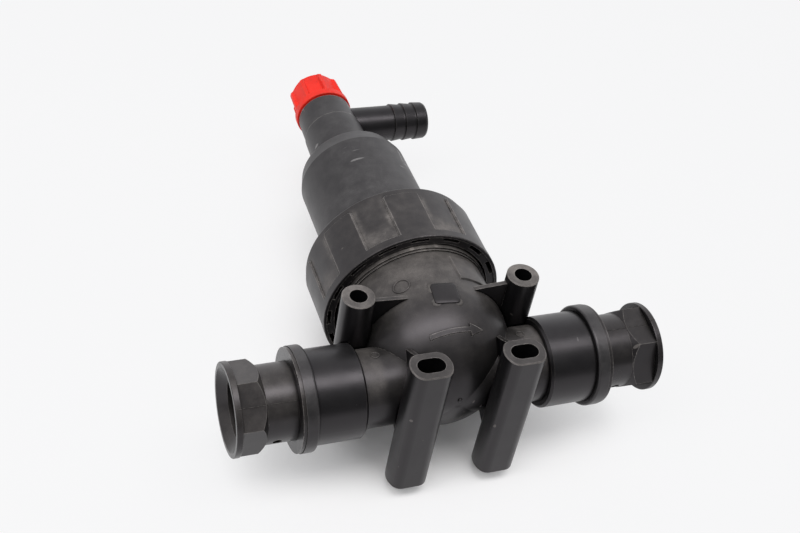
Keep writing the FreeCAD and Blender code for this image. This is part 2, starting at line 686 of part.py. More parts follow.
def ring_nut():
    """Grip nut: a front band and grips that run back from it, with core-out pockets in the front."""
    body = new_body("ring_nut")
    revolve(body, "nut_wall_ring", [
        ("nut_bore", "nut_start + front_step_deep"),
        ("band_radius - front_rim_thick", "nut_start + front_step_deep"),
        ("band_radius - front_rim_thick", "nut_start"),
        ("band_radius", "nut_start"),
        ("band_radius", "nut_start + front_band"),
        ("floor_radius", "nut_start + front_band"),
        ("floor_radius", "nut_end"),
        ("bowl_radius + nut_lip_gap", "nut_end"),
        ("bowl_radius + nut_lip_gap", "flange_end"),
        ("nut_bore", "flange_end"),
    ], "V_Axis")
    softened = round_edges(body, "nut_back_edge", body.Tip,
                           on_circle("y", ["nut_end"], "floor_radius"), "nut_rear_round")
    round_edges(body, "nut_front_edge", softened,
                on_circle("y", ["nut_start"], "band_radius"), "nut_front_bevel")
    grip = revolve(body, "grip", [
        ("floor_radius - grip_height", "nut_start + front_band / 2"),
        ("band_radius", "nut_start + front_band / 2"),
        ("band_radius", "nut_start + front_band + grip_long"),
        ("floor_radius - grip_height", "nut_start + front_band + grip_long"),
    ], "V_Axis", angle="grip_angle")
    polar(body, "grips", [grip], "grip_count")
    grip_end = value("nut_start + front_band + grip_long")
    grip_start = value("nut_start + front_band")
    crest = value("band_radius")

    def grip_corner(edge):
        box = edge.BoundBox
        return box.YLength < EDGE_SLACK and abs(box.YMax - grip_end) < EDGE_SLACK and (
            abs(edge.Length - value("grip_height")) < EDGE_SLACK)

    def grip_crest(edge):
        reach = [math.hypot(point.X, point.Z) for point in edge.Vertexes]
        if len(reach) < 2 or any(abs(one - crest) > EDGE_SLACK for one in reach):
            return False
        return edge.BoundBox.YMin > grip_start - EDGE_SLACK
    rounded = round_edges(body, "grip_corners", body.Tip, grip_corner, "grip_corner")
    round_edges(body, "grip_slopes", rounded, grip_crest, "grip_slope", kind="Chamfer")
    pocket = revolve(body, "core_pocket", [
        ("nut_bore + pocket_wall", "nut_start + front_step_deep"),
        ("nut_bore + pocket_wall + pocket_wide", "nut_start + front_step_deep"),
        ("nut_bore + pocket_wall + pocket_wide", "nut_start + front_step_deep + pocket_deep"),
        ("nut_bore + pocket_wall", "nut_start + front_step_deep + pocket_deep"),
    ], "V_Axis", kind="Groove", angle="pocket_angle")
    polar(body, "core_pockets", [pocket], "pocket_count")
    turn(body, FreeCAD.Rotation(FreeCAD.Vector(0, 1, 0), value("nut_clocking")))
    return body


def bowl():
    body = new_body("bowl")
    seat_radius = "cage_radius + cage_seat_gap"
    drain_bore = "drain_radius - drain_wall"
    revolve(body, "bowl_wall_ring", [
        ("spigot_radius", "mouth_face - spigot_long"),
        ("spigot_radius", "mouth_face"),
        ("nut_bore - bowl_flange_gap", "mouth_face"),
        ("nut_bore - bowl_flange_gap", "flange_end"),
        ("bowl_radius", "flange_end"),
        ("barrel_end_radius", "barrel_end"),
        ("barrel_end_radius - shoulder_drop", "shoulder_end"),
        ("outlet_radius + outlet_root", "outlet_start"),
        ("outlet_radius", "outlet_crease"),
        ("outlet_radius - outlet_lip", "outlet_crease"),
        ("outlet_radius - outlet_taper", "outlet_end"),
        ("drain_radius", "outlet_end"),
        ("drain_radius", "drain_end"),
        (drain_bore, "drain_end"),
        (drain_bore, "outlet_end"),
        ("outlet_bore", "outlet_end - drain_wall"),
        ("outlet_bore", "shoulder_end"),
        ("cage_bore", "bowl_seat"),
        (seat_radius, "bowl_seat"),
        (seat_radius, "screen_end"),
        ("barrel_end_radius - bowl_wall", "screen_end - bowl_wall"),
        ("bowl_radius - bowl_wall", "flange_end"),
        ("bowl_radius - bowl_wall", "mouth_face - spigot_long"),
    ], "V_Axis")
    round_edges(body, "shoulder_edge", body.Tip,
                on_circle("y", ["shoulder_end"], "barrel_end_radius - shoulder_drop"), "shoulder_round")
    revolve(body, "bowl_seal_groove", [
        ("spigot_radius - bowl_seal_deep", "bowl_seal_place - bowl_seal_wide / 2"),
        ("spigot_radius", "bowl_seal_place - bowl_seal_wide / 2"),
        ("spigot_radius", "bowl_seal_place + bowl_seal_wide / 2"),
        ("spigot_radius - bowl_seal_deep", "bowl_seal_place + bowl_seal_wide / 2"),
    ], "V_Axis", kind="Groove")
    sketch = empty_sketch(body, "barb_hole_outline", "YZ_Plane")
    add_circle(sketch, "barb_place", "0", "barb_radius + slip_clearance")
    extrude(body, "barb_hole", sketch, "outlet_radius + outlet_root", kind="Pocket", reverse=True)
    return body


def bowl_seal():
    body = new_body("bowl_seal")
    near = "bowl_seal_place - bowl_seal_wide / 2 + seal_side_gap"
    far = "bowl_seal_place + bowl_seal_wide / 2 - seal_side_gap"
    revolve(body, "bowl_seal_ring", [
        ("spigot_radius - bowl_seal_deep", near),
        ("head_bore - slip_clearance", near),
        ("head_bore - slip_clearance", far),
        ("spigot_radius - bowl_seal_deep", far),
    ], "V_Axis")
    return body


def washer(label, inner, outer, near, far):
    """A plain ring about the bowl axis."""
    body = new_body(label)
    revolve(body, label + "_ring", [
        (inner, near),
        (outer, near),
        (outer, far),
        (inner, far),
    ], "V_Axis")
    return body


def cartridge_cage():
    body = new_body("cartridge_cage")
    spacing = "(screen_end - screen_start) / (hoop_count + 1)"
    ribs_start = "screen_start"
    sketch = empty_sketch(body, "cage_rib_outline", "XZ_Plane", "-(%s)" % ribs_start)
    add_loop(sketch, [
        ("screen_radius", "-cage_rib_wide / 2"),
        ("screen_radius + cage_rib_high", "-cage_rib_wide / 2"),
        ("screen_radius + cage_rib_high", "cage_rib_wide / 2"),
        ("screen_radius", "cage_rib_wide / 2"),
    ])
    for step in range(int(value("hoop_count"))):
        middle = "screen_start + %d * %s" % (step + 1, spacing)
        revolve(body, "hoop_%d" % (step + 1), [
            ("screen_radius", middle + " - hoop_wide / 2"),
            ("screen_radius + hoop_high", middle + " - hoop_wide / 2"),
            ("screen_radius + hoop_high", middle + " + hoop_wide / 2"),
            ("screen_radius", middle + " + hoop_wide / 2"),
        ], "V_Axis")
    rib = extrude(body, "cage_rib", sketch, "screen_end - screen_start", reverse=True)
    polar(body, "cage_ribs", [rib], "cage_rib_count")
    return body


def flow_deflector():
    """Hollow cone on a three-spoke spider that speeds the water along the screen."""
    body = new_body("flow_deflector")
    ring_outer = "cage_bore - spider_gap"
    revolve(body, "deflector_cone", [
        ("0", "cone_start"),
        ("cone_tip_radius", "cone_start + cone_wall"),
        ("cone_base_radius", "cage_end"),
        ("cone_base_radius - cone_wall", "cage_end"),
        ("cone_tip_radius - cone_wall", "cone_start + cone_nose"),
        ("0", "cone_start + cone_nose"),
    ], "V_Axis")
    revolve(body, "spider_ring", [
        (ring_outer + " - spider_wall", "cage_end - spider_high"),
        (ring_outer, "cage_end - spider_high"),
        (ring_outer, "cage_end"),
        (ring_outer + " - spider_wall", "cage_end"),
    ], "V_Axis")
    sketch = empty_sketch(body, "spoke_outline", "XZ_Plane", "-cage_end")
    inner = "cone_base_radius - cone_wall / 2"
    outer = ring_outer + " - spider_wall / 2"
    add_loop(sketch, [
        (inner, "-spoke_wide / 2"),
        (outer, "-spoke_wide / 2"),
        (outer, "spoke_wide / 2"),
        (inner, "spoke_wide / 2"),
    ])
    spoke = extrude(body, "spoke", sketch, "spider_high")
    polar(body, "spokes", [spoke], "spoke_count")
    return body


def hose_barb():
    """Tube with saw-tooth hose ridges, steep towards the bowl and sloping to the tip."""
    body = new_body("hose_barb", "barb_place")
    tip = "barb_end - barb_round"
    profile = [
        ("barb_end", "barb_bore"),
        ("barb_end", "barb_radius - barb_height / 2"),
        (tip, "barb_radius + barb_height / 2"),
    ]
    for step in reversed(range(int(value("barb_count")))):
        foot = "barb_first + %d * barb_pitch" % step
        if len(profile) > 3:
            profile.append((foot + " + barb_ramp", "barb_radius"))
        profile.append((foot, "barb_radius + barb_height"))
        profile.append((foot + " - barb_height / 2", "barb_radius"))
    profile += [
        ("barb_start", "barb_radius"),
        ("barb_start", "barb_bore"),
    ]
    revolve(body, "barb_wall_ring", profile, "H_Axis")
    return body


def flush_jet():
    body = new_body("flush_jet", "barb_place")
    revolve(body, "jet_ring", [
        ("jet_place", "jet_radius"),
        ("jet_place + jet_long", "jet_radius"),
        ("jet_place + jet_long", "barb_bore - slip_clearance"),
        ("jet_place", "barb_bore - slip_clearance"),
    ], "H_Axis")
    return body


def drain_cap():
    body = new_body("drain_cap")
    skirt_end = "cap_start + cap_skirt_long"
    revolve(body, "cap_block", [
        ("cap_bore", "cap_start"),
        ("cap_skirt_radius - cap_skirt_bevel", "cap_start"),
        ("cap_skirt_radius", "cap_start + cap_skirt_bevel"),
        ("cap_skirt_radius", skirt_end),
        ("cap_root_radius", skirt_end),
        ("cap_rib_radius", "cap_bevel_start"),
        ("cap_end_radius", "cap_end"),
        ("0", "cap_end"),
        ("0", "cap_floor"),
        ("cap_bore", "cap_floor"),
    ], "V_Axis")
    sector = "180 / cap_rib_count"
    root_angle = "(%s - cap_rib_root / 2)" % sector
    tip_angle = "(%s - cap_rib_tip / 2)" % sector
    tip_radius = "(cap_skirt_radius + cap_wall)"
    sketch = empty_sketch(body, "cap_flat_outline", "XZ_Plane", "-(%s)" % skirt_end)
    add_loop(sketch, [
        ("cap_flat", "-cap_flat * tan%s" % root_angle),
        (tip_radius + " * cos%s" % tip_angle, "-%s * sin%s" % (tip_radius, tip_angle)),
        (tip_radius + " * cos%s" % tip_angle, "%s * sin%s" % (tip_radius, tip_angle)),
        ("cap_flat", "cap_flat * tan%s" % root_angle),
    ])
    flat = extrude(body, "cap_flat_cut", sketch, "cap_end - cap_start", kind="Pocket")
    polar(body, "cap_flats", [flat], "cap_rib_count")
    turn(body, FreeCAD.Rotation(FreeCAD.Vector(0, 1, 0), value("cap_clocking")))
    return body


INLET_SIDE = 180.0

PARTS = [
    marked_head(),
    port_sleeve("inlet_sleeve", FreeCAD.Rotation(INLET_SIDE, 0, 0)),
    port_sleeve("outlet_sleeve", FreeCAD.Rotation()),
    port_adapter("inlet_adapter", FreeCAD.Rotation(INLET_SIDE, 0, value("inlet_clocking"))),
    port_adapter("outlet_adapter", FreeCAD.Rotation(0, 0, value("outlet_clocking"))),
    port_seal("inlet_seal", FreeCAD.Rotation(INLET_SIDE, 0, 0)),
    port_seal("outlet_seal", FreeCAD.Rotation()),
    ring_nut(),
    bowl(),
    bowl_seal(),
    washer("cartridge_top_seal", "seat_bore", "seat_radius", "seat_end", "cage_start"),
    washer("cartridge_top_collar", "cage_bore", "cage_radius", "cage_start", "screen_start"),
    cartridge_cage(),
    washer("cartridge_screen", "screen_radius - screen_thick", "screen_radius", "screen_start", "screen_end"),
    washer("cartridge_bottom_collar", "cage_bore", "cage_radius", "screen_end", "cage_end"),
    washer("cartridge_bottom_seal", "cage_bore", "cage_radius", "cage_end", "bowl_seat"),
    flow_deflector(),
    hose_barb(),
    flush_jet(),
    drain_cap(),
    washer("drain_cap_seal", "drain_radius - drain_wall", "drain_radius", "drain_end", "cap_floor"),
]

document.recompute()

failed = [item.Name for item in document.Objects if "Invalid" in item.State or "Error" in item.State]
if failed:
    raise RuntimeError("features that failed: " + ", ".join(failed))
for part in PARTS:
    if part.Shape.isNull() or not part.Shape.isValid() or not part.Shape.Solids:
        raise RuntimeError("no valid solid in " + part.Label)

os.makedirs("parts", exist_ok=True)
for part in PARTS:
    part.Shape.exportStep("parts/%s.step" % part.Label)
    box = part.Shape.BoundBox
    print("%-24s %8.2f cm3  %d solid(s)  x %.1f %.1f  y %.1f %.1f  z %.1f %.1f" % (
        part.Label, part.Shape.Volume / 1000, len(part.Shape.Solids),
        box.XMin, box.XMax, box.YMin, box.YMax, box.ZMin, box.ZMax))
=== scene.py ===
import math

import bmesh
import bpy
from mathutils import Matrix, Vector


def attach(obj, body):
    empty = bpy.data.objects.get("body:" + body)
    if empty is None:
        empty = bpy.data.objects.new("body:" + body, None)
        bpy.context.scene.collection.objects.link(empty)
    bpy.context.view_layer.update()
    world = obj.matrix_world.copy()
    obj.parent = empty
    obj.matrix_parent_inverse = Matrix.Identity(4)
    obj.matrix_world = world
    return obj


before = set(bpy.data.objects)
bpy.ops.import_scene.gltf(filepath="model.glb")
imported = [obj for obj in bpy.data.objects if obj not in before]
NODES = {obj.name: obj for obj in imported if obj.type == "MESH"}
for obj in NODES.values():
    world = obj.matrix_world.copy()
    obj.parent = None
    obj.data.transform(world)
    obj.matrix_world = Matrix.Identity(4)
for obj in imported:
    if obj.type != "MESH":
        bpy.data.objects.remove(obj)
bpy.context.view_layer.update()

# The port axis runs along X and the bowl axis along Y, and they cross at this Y and Z.
PORT_Y = 0.0337
PORT_Z = 0.053
CROSSING = (0.0, PORT_Y, PORT_Z)

# The dome is a ball about a point behind the port axis, with a tube of the same radius behind it.
DOME_RADIUS = 0.0515
DOME_CENTRE = 0.026
STUB_RADIUS = 0.0254

FLOOR_Z = -0.0096
INCH = 0.0254


def from_crossing(x, y, z):
    """A point given by its distance from the crossing of the two axes."""
    return (x, y + PORT_Y, z + PORT_Z)


def srgb(r, g, b):
    """Linear colour from the 0 to 255 values seen in a picture."""
    def lin(c):
        c /= 255.0
        return c / 12.92 if c <= 0.04045 else ((c + 0.055) / 1.055) ** 2.4
    return (lin(r), lin(g), lin(b), 1.0)


class Nodes:
    """Short hand for building a node tree."""

    def __init__(self, tree):
        self.tree = tree

    def add(self, kind, **settings):
        node = self.tree.nodes.new(kind)
        for key, val in settings.items():
            setattr(node, key, val)
        return node

    def join(self, source, socket):
        """Link a socket, or set it when the source is a plain value."""
        if isinstance(source, (int, float, tuple)):
            socket.default_value = source
        else:
            self.tree.links.new(source, socket)

    def math(self, operation, first, second=0.0, clamp=False):
        node = self.add("ShaderNodeMath", operation=operation, use_clamp=clamp)
        self.join(first, node.inputs[0])
        self.join(second, node.inputs[1])
        return node.outputs[0]

    def dot(self, first, second):
        node = self.add("ShaderNodeVectorMath", operation="DOT_PRODUCT")
        self.join(first, node.inputs[0])
        self.join(second, node.inputs[1])
        return node.outputs["Value"]

    def ramp(self, value, low, high, start=0.0, end=1.0):
        """Smooth step from start, where the value is low, to end, where it is high."""
        node = self.add("ShaderNodeMapRange", interpolation_type="SMOOTHSTEP")
        self.join(value, node.inputs["Value"])
        for name, number in (("From Min", low), ("From Max", high), ("To Min", start), ("To Max", end)):
            node.inputs[name].default_value = number
        return node.outputs["Result"]

    def mix(self, factor, first, second):
        node = self.add("ShaderNodeMix", data_type="RGBA")
        colour_a, colour_b, colour_out = 6, 7, 2
        self.join(factor, node.inputs[0])
        self.join(first, node.inputs[colour_a])
        self.join(second, node.inputs[colour_b])
        return node.outputs[colour_out]

    def axes(self, vector):
        node = self.add("ShaderNodeSeparateXYZ")
        self.join(vector, node.inputs[0])
        return node.outputs[0], node.outputs[1], node.outputs[2]


class Material(Nodes):
    """The node tree of a new material, with patterns that follow the object."""

    def __init__(self, name):
        self.material = bpy.data.materials.new(name)
        self.material.use_nodes = True
        super().__init__(self.material.node_tree)
        self.shader = self.tree.nodes["Principled BSDF"]
        self.position = self.add("ShaderNodeTexCoord").outputs["Object"]

    def set(self, name, source):
        self.join(source, self.shader.inputs[name])

    def noise(self, scale, detail=3.0, rough=0.55, stretch=None, seed=0.0):
        place = self.position
        if stretch or seed:
            shift = self.add("ShaderNodeMapping")
            shift.inputs["Location"].default_value = (seed, seed * 0.7, seed * 1.3)
            if stretch:
                shift.inputs["Scale"].default_value = stretch
            self.join(place, shift.inputs["Vector"])
            place = shift.outputs["Vector"]
        node = self.add("ShaderNodeTexNoise")
        node.inputs["Scale"].default_value = scale
        node.inputs["Detail"].default_value = detail
        node.inputs["Roughness"].default_value = rough
        self.join(place, node.inputs["Vector"])
        return node.outputs["Fac"]

    def normal(self):
        return self.add("ShaderNodeNewGeometry").outputs["Normal"]

    def edges(self, size, low=0.008):
        """One where the surface bends sharply within the size, nothing on open faces."""
        bevel = self.add("ShaderNodeBevel", samples=6)
        bevel.inputs["Radius"].default_value = size
        bend = self.math("SUBTRACT", 1.0, self.dot(bevel.outputs[0], self.normal()))
        return self.ramp(bend, low, high=0.09)

    def painted_corner_shade(self):
        """One in inside corners and round the foot of raised forms: the mask of the painted shade there."""
        cavity = self.add("ShaderNodeAmbientOcclusion", samples=6)
        cavity.inputs["Distance"].default_value = CREASE_SHADE_REACH
        return self.ramp(cavity.outputs["AO"], 0.55, 0.97, start=1.0, end=0.0)

    def upward(self, low, high):
        """One where the surface faces up."""
        return self.ramp(self.axes(self.normal())[2], low, high)

    def bump(self, height, distance, strength, under=None):
        node = self.add("ShaderNodeBump")
        node.inputs["Distance"].default_value = distance
        node.inputs["Strength"].default_value = strength
        self.join(height, node.inputs["Height"])
        if under is not None:
            self.join(under, node.inputs["Normal"])
        return node.outputs["Normal"]


# Colours that the mouldings share.
# Dust tones, also used for the painted sheen on upward faces and the painted highlight on web tops.
DUST_SHEEN_TONE = srgb(146, 140, 135)
PALE_DUST_SHEEN_TONE = srgb(150, 148, 147)
# Pale edge colour: rubbed plastic and a painted highlight.
RUBBED_AND_HIGHLIT = srgb(186, 180, 175)
# Near black painted into inside corners as shade.
CREASE_SHADE = srgb(5, 5, 5)

# Painted shade in inside corners: how far apart two faces may be, how much the painted shade hides the colour and
# dims the gloss.
CREASE_SHADE_REACH = 0.0016
CREASE_SHADE_COVER = 0.55
CREASE_SHADE_DULL = 0.42
FULL_GLOSS = 0.5


def dust_and_sheen_film(m, film, top, zone, seed):
    """Patchy dust: a thin film all over, more on top, where it is also a painted sheen, and the material's own
    zone.
    """
    fine = m.ramp(m.noise(2200.0, detail=2.0, rough=0.7, seed=seed + 3.1), 0.25, 0.75, start=0.55)
    mottle = m.ramp(m.noise(95.0, detail=5.0, rough=0.68, seed=seed + 7.7), 0.3, 0.75, start=0.45)
    # Upward faces are paler: partly dust, partly a painted sheen from the light above.
    amount = m.math("MULTIPLY", m.math("MULTIPLY", m.upward(0.1, 1.0), top), mottle)
    amount = m.math("ADD", amount, m.math("MULTIPLY", mottle, film))
    if zone is not None:
        amount = m.math("ADD", amount, m.math("MULTIPLY", zone(m), mottle))
    return m.math("MULTIPLY", amount, fine)


def edge_rub_and_highlight(m, edge, size, low, bare, seed):
    """Rubbed edges with a painted highlight along them, uneven along their length and only outside the painted
    corner shade.
    """
    uneven_along_edge = m.ramp(m.noise(240.0, detail=4.0, rough=0.7, seed=seed + 2.0), 0.3, 0.75, start=0.15)
    rub_and_highlight = m.math("MULTIPLY", m.math("MULTIPLY", m.edges(size, low), uneven_along_edge), edge)
    return m.math("MULTIPLY", rub_and_highlight, bare, clamp=True)


def hairlines(m, threshold, seed):
    """Thin scratches in two directions. A lower threshold gives more of them."""
    along = m.noise(210.0, detail=1.0, rough=0.4, stretch=(0.10, 1.0, 0.5), seed=seed + 5.0)
    across = m.noise(260.0, detail=1.0, rough=0.4, stretch=(1.0, 0.08, 0.6), seed=seed + 9.0)
    full = threshold + 0.025
    return m.math("ADD", m.ramp(along, threshold, full), m.ramp(across, threshold + 0.005, full), clamp=True)


def moulded(name, dark, pale, dust, seed, film, top, edge, rough, scuffs=0.3, scratches=0.775,
            edge_size=0.0006, edge_low=0.008, zone=None):
    """Black moulded plastic: even pigment, a fine dust film on top that is partly a painted sheen, painted shade
    in inside corners, rubbed edges with a painted highlight, hairline scuffs.
    """
    m = Material(name)
    colour = m.mix(m.ramp(m.noise(26.0, seed=seed), 0.3, 0.7), dark, pale)
    dust_and_sheen = dust_and_sheen_film(m, film, top, zone, seed)
    colour = m.mix(dust_and_sheen, colour, dust)
    # Painted shade: inside corners and the foot of raised forms are darkened towards near black.
    corner_shade = m.painted_corner_shade()
    colour = m.mix(m.math("MULTIPLY", corner_shade, CREASE_SHADE_COVER), colour, CREASE_SHADE)
    # Bare here means outside the painted corner shade.
    bare = m.math("SUBTRACT", 1.0, corner_shade)
    # Pale edges: partly rubbed plastic, partly a painted highlight on the edges.
    colour = m.mix(edge_rub_and_highlight(m, edge, edge_size, edge_low, bare, seed), colour, RUBBED_AND_HIGHLIT)
    colour = m.mix(m.math("MULTIPLY", hairlines(m, scratches, seed), scuffs), colour, dust)
    m.set("Base Color", colour)

    sheen = m.ramp(m.noise(60.0, detail=4.0, rough=0.6, seed=seed + 4.0), 0.3, 0.75, rough - 0.03, rough + 0.05)
    m.set("Roughness", m.math("ADD", sheen, m.math("MULTIPLY", dust_and_sheen, 0.5), clamp=True))
    # The painted corner shade also dims the gloss there.
    m.set("Specular IOR Level", m.math("SUBTRACT", FULL_GLOSS, m.math("MULTIPLY", corner_shade, CREASE_SHADE_DULL)))
    m.set("IOR", 1.5)
    m.set("Specular Tint", (1.0, 0.93, 0.98, 1.0))

    waves = m.noise(45.0, detail=2.0, rough=0.5, seed=seed + 6.0)
    grain = m.noise(1800.0, detail=2.0, rough=0.6, seed=seed)
    m.set("Normal", m.bump(grain, 0.00003, 0.4, under=m.bump(waves, 0.0003, 0.25)))
    return m.material


def red_plastic():
    """Bright cap plastic with paler edges, rubbed and with a painted highlight, and dark grime."""
    m = Material("cap_plastic")
    colour = m.mix(m.ramp(m.noise(60.0, rough=0.6, seed=2.0), 0.3, 0.7), srgb(226, 36, 20), srgb(236, 44, 27))
    patchy = m.ramp(m.noise(220.0, rough=0.7, seed=4.0), 0.3, 0.75)
    # Paler edges: rubbed plastic and a painted highlight.
    worn_and_highlit = m.math("MULTIPLY", m.edges(0.0012), patchy)
    colour = m.mix(m.math("MULTIPLY", worn_and_highlit, 0.55), colour, srgb(214, 84, 62))
    grime = m.ramp(m.noise(120.0, detail=4.0, rough=0.6, seed=8.0), 0.55, 0.8)
    m.set("Base Color", m.mix(m.math("MULTIPLY", grime, 0.3), colour, srgb(104, 14, 9)))
    m.set("Roughness", m.ramp(m.noise(80.0, rough=0.6, seed=3.0), 0.3, 0.7, 0.42, 0.55))
    m.set("IOR", 1.4)
    m.set("Normal", m.bump(m.noise(500.0, detail=2.0, rough=0.6, seed=5.0), 0.00004, 0.5))
    return m.material


def rubber():
    """Dull black seal."""
    m = Material("seal_rubber")
    m.set("Base Color", m.mix(m.noise(400.0, rough=0.6), srgb(20, 20, 20), srgb(34, 33, 33)))
    m.set("Roughness", m.ramp(m.noise(300.0, detail=2.0, rough=0.5, seed=2.0), 0.3, 0.7, 0.55, 0.75))
    m.set("Normal", m.bump(m.noise(1200.0, detail=2.0, rough=0.6), 0.00003, 0.6))
    return m.material


WIRES_ROUND = 300.0
WIRE_PITCH = 0.00067


def steel_mesh():
    """Woven wire: crossed waves along the screen and round it, the raised crests painted pale as highlight and
    the dips dark as shade.
    """
    m = Material("screen_steel")
    x, y, z = m.axes(m.position)
    turn = m.math("ARCTAN2", m.math("SUBTRACT", z, PORT_Z), x)
    round_it = m.math("SINE", m.math("MULTIPLY", turn, WIRES_ROUND))
    along = m.math("SINE", m.math("MULTIPLY", y, 2.0 * math.pi / WIRE_PITCH))
    weave = m.math("MULTIPLY", round_it, along)
    # Painted highlight on the crests of the weave and painted shade in its dips.
    m.set("Base Color", m.mix(m.ramp(weave, -0.6, 0.6), srgb(70, 72, 74), srgb(176, 178, 180)))
    m.set("Metallic", 0.9)
    m.set("Roughness", m.ramp(m.noise(200.0), 0.3, 0.7, 0.3, 0.45))
    m.set("Normal", m.bump(weave, 0.0001, 0.8))
    return m.material


# Zones of the head, in the frame, with dust, and on web tops a painted highlight as well: where each begins and
# where it is full.
DOME_BACK = (0.040, 0.085)
STUB_ROOT = (0.046, 0.052)
ABOVE_DOME = (0.1045, 0.1052)
WEB_TOP = (0.1053, 0.1056)
BOSS_END = (0.10585, 0.10595)


def dome_dust_and_highlight(m):
    """The film is thickest on the back of the dome, on the stubs, on boss ends and on web tops, where it is
    partly a painted highlight.
    """
    x, y, z = m.axes(m.position)
    back = m.ramp(y, *DOME_BACK, end=0.34)
    stubs = m.math("MULTIPLY", m.ramp(m.math("ABSOLUTE", x), *STUB_ROOT), 0.24)
    ends = m.math("MULTIPLY", m.ramp(z, *ABOVE_DOME), 0.14)
    # Web tops: dust and a painted highlight.
    web_dust_and_highlight = m.math("MULTIPLY", m.ramp(z, *WEB_TOP), m.ramp(z, *BOSS_END, start=0.5, end=0.0))
    ends = m.math("ADD", ends, web_dust_and_highlight)
    return m.math("MULTIPLY", m.math("ADD", m.math("ADD", back, stubs), ends), m.upward(0.25, 0.9))


# The nut's grips, in degrees round the bowl axis: step, middle of one gap, and off that middle
# the foot of a grip and the edge of the gap. Then, behind the port axis, the ends of the gaps.
GRIP_STEP = 45.0
GRIP_GAP_MIDDLE = 25.5
GAP_FOOT = (6.0, 10.4)
GAP_EDGE = (12.4, 11.2)
GAP_FRONT = (0.0736, 0.0742)
GAP_FRONT_HEAP = (0.092, 0.076)
GAP_BACK = (0.116, 0.106)


def nut_dust(m):
    """Dust lies along the foot of each grip and at the front end of the gaps between them."""
    x, y, z = m.axes(m.position)

    def behind_ports(span):
        return m.ramp(y, PORT_Y + span[0], PORT_Y + span[1])

    turn = m.math("ARCTAN2", m.math("SUBTRACT", z, PORT_Z), x)
    turn = m.math("ADD", m.math("MULTIPLY", turn, 180.0 / math.pi), 360.0 - GRIP_GAP_MIDDLE + GRIP_STEP / 2)
    off = m.math("SUBTRACT", m.math("FLOORED_MODULO", turn, GRIP_STEP), GRIP_STEP / 2)
    off = m.math("ABSOLUTE", off)
    held = m.math("MAXIMUM", m.ramp(off, *GAP_FOOT), behind_ports(GAP_FRONT_HEAP))
    for limit in (m.ramp(off, *GAP_EDGE), behind_ports(GAP_FRONT), behind_ports(GAP_BACK)):
        held = m.math("MULTIPLY", held, limit)
    patchy = m.ramp(m.noise(130.0, detail=4.0, rough=0.65, seed=3.0), 0.3, 0.65, 0.15, 0.5)
    streaks = m.ramp(m.noise(34.0, detail=4.0, rough=0.6, seed=13.0), 0.5, 0.75, end=0.14)
    return m.math("ADD", m.math("MULTIPLY", held, patchy), streaks)


COLLAR_START = 0.0945
COLLAR_EDGE = 0.0004


def collar_dust(m):
    """The raised collar holds more dust than the polished sleeve."""
    along = m.math("ABSOLUTE", m.axes(m.position)[0])
    band = m.math("MULTIPLY", m.ramp(along, COLLAR_START, COLLAR_START + COLLAR_EDGE), 0.16)
    return m.math("MULTIPLY", band, m.upward(-0.2, 0.9))


TURNING_PITCH = 0.0021


def bowl_dust(m):
    """Faint turned rings and a cloudy film."""
    along = m.axes(m.position)[1]
    rings = m.math("SINE", m.math("MULTIPLY", along, 2.0 * math.pi / TURNING_PITCH))
    rings = m.math("MULTIPLY", m.ramp(rings, 0.9, 1.0, end=0.10), m.ramp(m.noise(40.0, seed=4.0), 0.45, 0.7))
    cloudy = m.ramp(m.noise(28.0, detail=4.0, rough=0.6, seed=17.0), 0.5, 0.78, end=0.10)
    return m.math("ADD", rings, cloudy)


HEAD = moulded("head_plastic", srgb(10, 10, 11), srgb(14, 14, 15), DUST_SHEEN_TONE, seed=1.0, film=0.0, top=0.13,
               edge=0.55, rough=0.34, edge_size=0.0008, zone=dome_dust_and_highlight)
PAD = moulded("pad_plastic", srgb(12, 12, 13), srgb(16, 16, 17), DUST_SHEEN_TONE, seed=5.0, film=0.0, top=0.05,
              edge=0.5, rough=0.42)
MARGIN = moulded("margin_plastic", srgb(22, 22, 22), srgb(28, 28, 28), DUST_SHEEN_TONE, seed=6.0, film=0.30,
                 top=0.15, edge=0.3, rough=0.5)
SLEEVE = moulded("sleeve_plastic", srgb(9, 9, 10), srgb(12, 12, 13), PALE_DUST_SHEEN_TONE, seed=12.0, film=0.0,
                 top=0.04, edge=0.22, rough=0.32, scuffs=0.2, scratches=0.76, zone=collar_dust)
ADAPTER = moulded("adapter_plastic", srgb(9, 9, 10), srgb(13, 13, 13), DUST_SHEEN_TONE, seed=23.0, film=0.0,
                  top=0.12, edge=0.5, rough=0.30, edge_size=0.0007)
# The inlet adapter's upper faces are paler: dust and a painted sheen.
DUST_AND_SHEEN_ADAPTER = moulded("inlet_adapter_plastic", srgb(9, 9, 10), srgb(13, 13, 13), DUST_SHEEN_TONE, seed=29.0,
                        film=0.02, top=0.22, edge=0.5, rough=0.28, edge_size=0.0007)
NUT = moulded("nut_plastic", srgb(16, 16, 17), srgb(22, 22, 23), DUST_SHEEN_TONE, seed=34.0, film=0.03, top=0.11,
              edge=0.9, rough=0.36, edge_low=0.004, zone=nut_dust)
BOWL = moulded("bowl_plastic", srgb(17, 17, 18), srgb(23, 23, 24), PALE_DUST_SHEEN_TONE, seed=45.0, film=0.04,
               top=0.14, edge=0.6, rough=0.38, scuffs=0.45, scratches=0.745, edge_size=0.0012,
               edge_low=0.002, zone=bowl_dust)
BARB = moulded("barb_plastic", srgb(9, 9, 10), srgb(12, 12, 13), PALE_DUST_SHEEN_TONE, seed=56.0, film=0.0,
               top=0.03, edge=0.18, rough=0.36, scuffs=0.1)
CAGE = moulded("cage_plastic", srgb(52, 52, 55), srgb(66, 66, 70), PALE_DUST_SHEEN_TONE, seed=67.0, film=0.02,
               top=0.04, edge=0.2, rough=0.4)
CAP = red_plastic()
SEAL = rubber()
SCREEN = steel_mesh()

